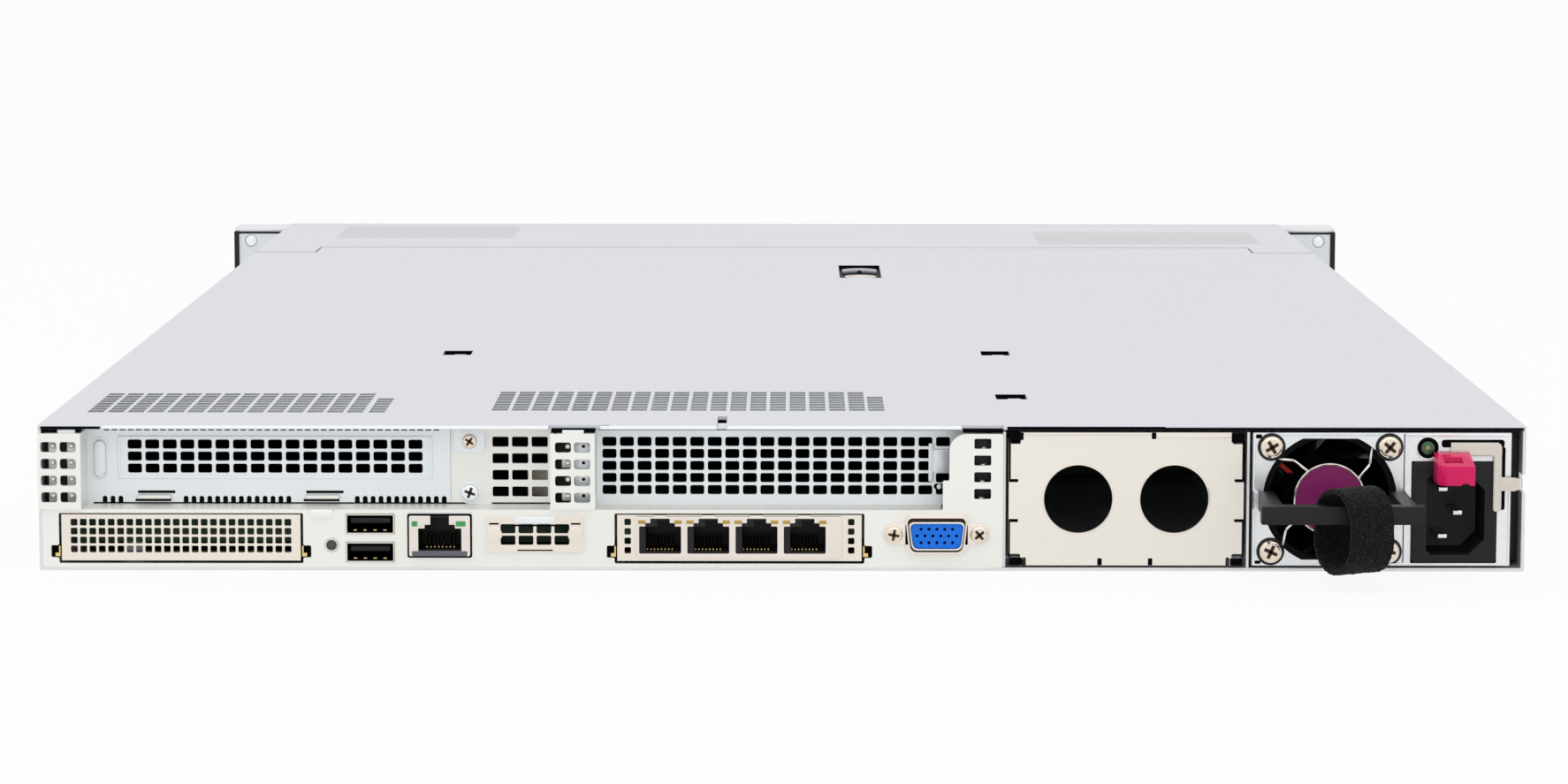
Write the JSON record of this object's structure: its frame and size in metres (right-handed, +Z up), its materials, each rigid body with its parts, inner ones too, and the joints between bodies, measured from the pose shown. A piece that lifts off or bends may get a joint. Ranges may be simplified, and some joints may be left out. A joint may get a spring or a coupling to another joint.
{
  "type": "rack server",
  "caption": "Low rack server in sheet steel: vented sliding cover, rear ports and card slots, plug-in power supply with handle and strap, drives, fans and hinged rack ears.",
  "frame": {"origin": "middle of the underside of the chassis floor", "axes": "+Y to the front with the drives, +X to the right seen from the rear, +Z up"},
  "size_m": [0.4796, 0.7511, 0.0428],
  "materials": {
    "cover_steel": "satin plated sheet",
    "chassis_steel": "galvanised sheet",
    "panel_steel": "warm pale plated sheet",
    "bracket_steel": "bluish plated sheet",
    "nickel_plate": "warm nickel plate",
    "screw_nickel": "nickel-plated screws",
    "contact_brass": "bright brass",
    "black_plastic": "moulded black plastic",
    "blue_plastic": "blue moulding",
    "pink_plastic": "pink moulding",
    "lever_plastic": "moulded grey plastic",
    "strap_webbing": "fuzzy black webbing",
    "circuit_board": "solder-masked board",
    "fin_aluminium": "bare fins",
    "drive_aluminium": "cast carrier",
    "lid_nickel": "nickel lid",
    "lens_plastic": "frosted lens"
  },
  "bodies": {
    "chassis": {"air_baffle": "black_plastic", "case_screws": "screw_nickel", "chassis_tray": "chassis_steel", "drive_backplane": "circuit_board", "drive_cage": "chassis_steel", "expansion_blank": "nickel_plate", "fan_frames": "black_plastic", "front_bay_blanks": "black_plastic", "front_control_panel": "black_plastic", "front_top_panel": "cover_steel", "heat_sinks": "fin_aluminium", "management_jack": "black_plastic", "memory_modules": "circuit_board", "module_clips": "contact_brass", "network_faceplate": "nickel_plate", "network_jacks": "black_plastic", "power_backplane": "circuit_board", "processors": "lid_nickel", "psu_bay_divider": "chassis_steel", "rack_ears": "chassis_steel", "rear_io_panel": "panel_steel", "riser_bracket_left": "bracket_steel", "riser_bracket_middle": "bracket_steel", "riser_cards": "circuit_board", "serial_port_blank": "nickel_plate", "slot_cover_left": "bracket_steel", "slot_cover_right": "bracket_steel", "system_board": "circuit_board", "uid_light": "lens_plastic", "usb_ports": "nickel_plate", "video_insert": "blue_plastic", "video_shell": "nickel_plate"},
    "top_cover": {"top_cover": "cover_steel"},
    "cover_latch": {"cover_latch": "nickel_plate"},
    "bay_blank": {"psu_bay_blank": "nickel_plate"},
    "power_supply": {"psu_case": "chassis_steel", "psu_face": "nickel_plate", "psu_fan_frame": "black_plastic", "psu_fan_screws": "screw_nickel", "psu_inlet": "black_plastic", "psu_inlet_pins": "contact_brass", "psu_status_light": "lens_plastic", "psu_circuit_board": "circuit_board"},
    "supply_fan": {"psu_fan_rotor": "black_plastic"},
    "supply_handle": {"psu_handle": "black_plastic", "cable_strap": "strap_webbing"},
    "supply_latch": {"psu_latch_arm": "nickel_plate", "psu_latch_tab": "pink_plastic"},
    "drive_1": {"drive_1": "drive_aluminium"},
    "drive_1_lever": {"drive_1_lever": "lever_plastic"},
    "drive_2": {"drive_2": "drive_aluminium"},
    "drive_2_lever": {"drive_2_lever": "lever_plastic"},
    "power_button": {"power_button": "lens_plastic"},
    "ear_latch_left": {"ear_latch_left": "black_plastic"},
    "ear_latch_right": {"ear_latch_right": "black_plastic"},
    "fan_rotor_1": {"fan_rotor_1": "black_plastic"},
    "fan_rotor_2": {"fan_rotor_2": "black_plastic"},
    "fan_rotor_3": {"fan_rotor_3": "black_plastic"},
    "fan_rotor_4": {"fan_rotor_4": "black_plastic"},
    "fan_rotor_5": {"fan_rotor_5": "black_plastic"}
  },
  "joints": [
    {"name": "cover_slide", "type": "slide", "parent": "chassis", "child": "top_cover", "axis": [0, -1, 0], "range_m": [0, 0.012]},
    {"name": "cover_latch_lift", "type": "hinge", "parent": "top_cover", "child": "cover_latch", "pos_m": [0.0298, 0.1541, 0.0412], "axis": [-1, 0, 0], "range_deg": [0, 75]},
    {"name": "bay_blank_slide", "type": "slide", "parent": "chassis", "child": "bay_blank", "axis": [0, -1, 0], "range_m": [0, 0.03]},
    {"name": "supply_slide", "type": "slide", "parent": "chassis", "child": "power_supply", "axis": [0, -1, 0], "range_m": [0, 0.15]},
    {"name": "supply_fan_spin", "type": "hinge", "parent": "power_supply", "child": "supply_fan", "pos_m": [0.1602, -0.34, 0.0213], "axis": [0, 1, 0], "continuous": true},
    {"name": "supply_handle_swing", "type": "hinge", "parent": "power_supply", "child": "supply_handle", "pos_m": [0.1602, -0.3564, 0.0214], "axis": [-1, 0, 0], "range_deg": [0, 45]},
    {"name": "supply_latch_push", "type": "slide", "parent": "power_supply", "child": "supply_latch", "axis": [-1, 0, 0], "range_m": [0, 0.0025], "stiffness_N_per_m": 800},
    {"name": "power_button_push", "type": "slide", "parent": "chassis", "child": "power_button", "axis": [0, -1, 0], "range_m": [0, 0.001], "stiffness_N_per_m": 500},
    {"name": "ear_latch_left_swing", "type": "hinge", "parent": "chassis", "child": "ear_latch_left", "pos_m": [-0.2376, 0.3365, 0.021], "axis": [0, 0, 1], "range_deg": [0, 60]},
    {"name": "ear_latch_right_swing", "type": "hinge", "parent": "chassis", "child": "ear_latch_right", "pos_m": [0.2376, 0.3365, 0.021], "axis": [0, 0, -1], "range_deg": [0, 60]},
    {"name": "drive_1_slide", "type": "slide", "parent": "chassis", "child": "drive_1", "axis": [0, 1, 0], "range_m": [0, 0.1]},
    {"name": "drive_1_lever_swing", "type": "hinge", "parent": "drive_1", "child": "drive_1_lever", "pos_m": [-0.1344, 0.351, 0.0303], "axis": [0, 0, -1], "range_deg": [0, 40]},
    {"name": "drive_2_slide", "type": "slide", "parent": "chassis", "child": "drive_2", "axis": [0, 1, 0], "range_m": [0, 0.1]},
    {"name": "drive_2_lever_swing", "type": "hinge", "parent": "drive_2", "child": "drive_2_lever", "pos_m": [-0.1344, 0.351, 0.0109], "axis": [0, 0, -1], "range_deg": [0, 40]},
    {"name": "fan_1_spin", "type": "hinge", "parent": "chassis", "child": "fan_rotor_1", "pos_m": [-0.168, 0.172, 0.0207], "axis": [0, 1, 0], "continuous": true},
    {"name": "fan_2_spin", "type": "hinge", "parent": "chassis", "child": "fan_rotor_2", "pos_m": [-0.084, 0.172, 0.0207], "axis": [0, 1, 0], "continuous": true},
    {"name": "fan_3_spin", "type": "hinge", "parent": "chassis", "child": "fan_rotor_3", "pos_m": [0, 0.172, 0.0207], "axis": [0, 1, 0], "continuous": true},
    {"name": "fan_4_spin", "type": "hinge", "parent": "chassis", "child": "fan_rotor_4", "pos_m": [0.084, 0.172, 0.0207], "axis": [0, 1, 0], "continuous": true},
    {"name": "fan_5_spin", "type": "hinge", "parent": "chassis", "child": "fan_rotor_5", "pos_m": [0.168, 0.172, 0.0207], "axis": [0, 1, 0], "continuous": true}
  ],
  "couplings": [
    {"joint": "cover_latch_lift", "follows": "cover_slide", "rad_per_m": 109}
  ]
}
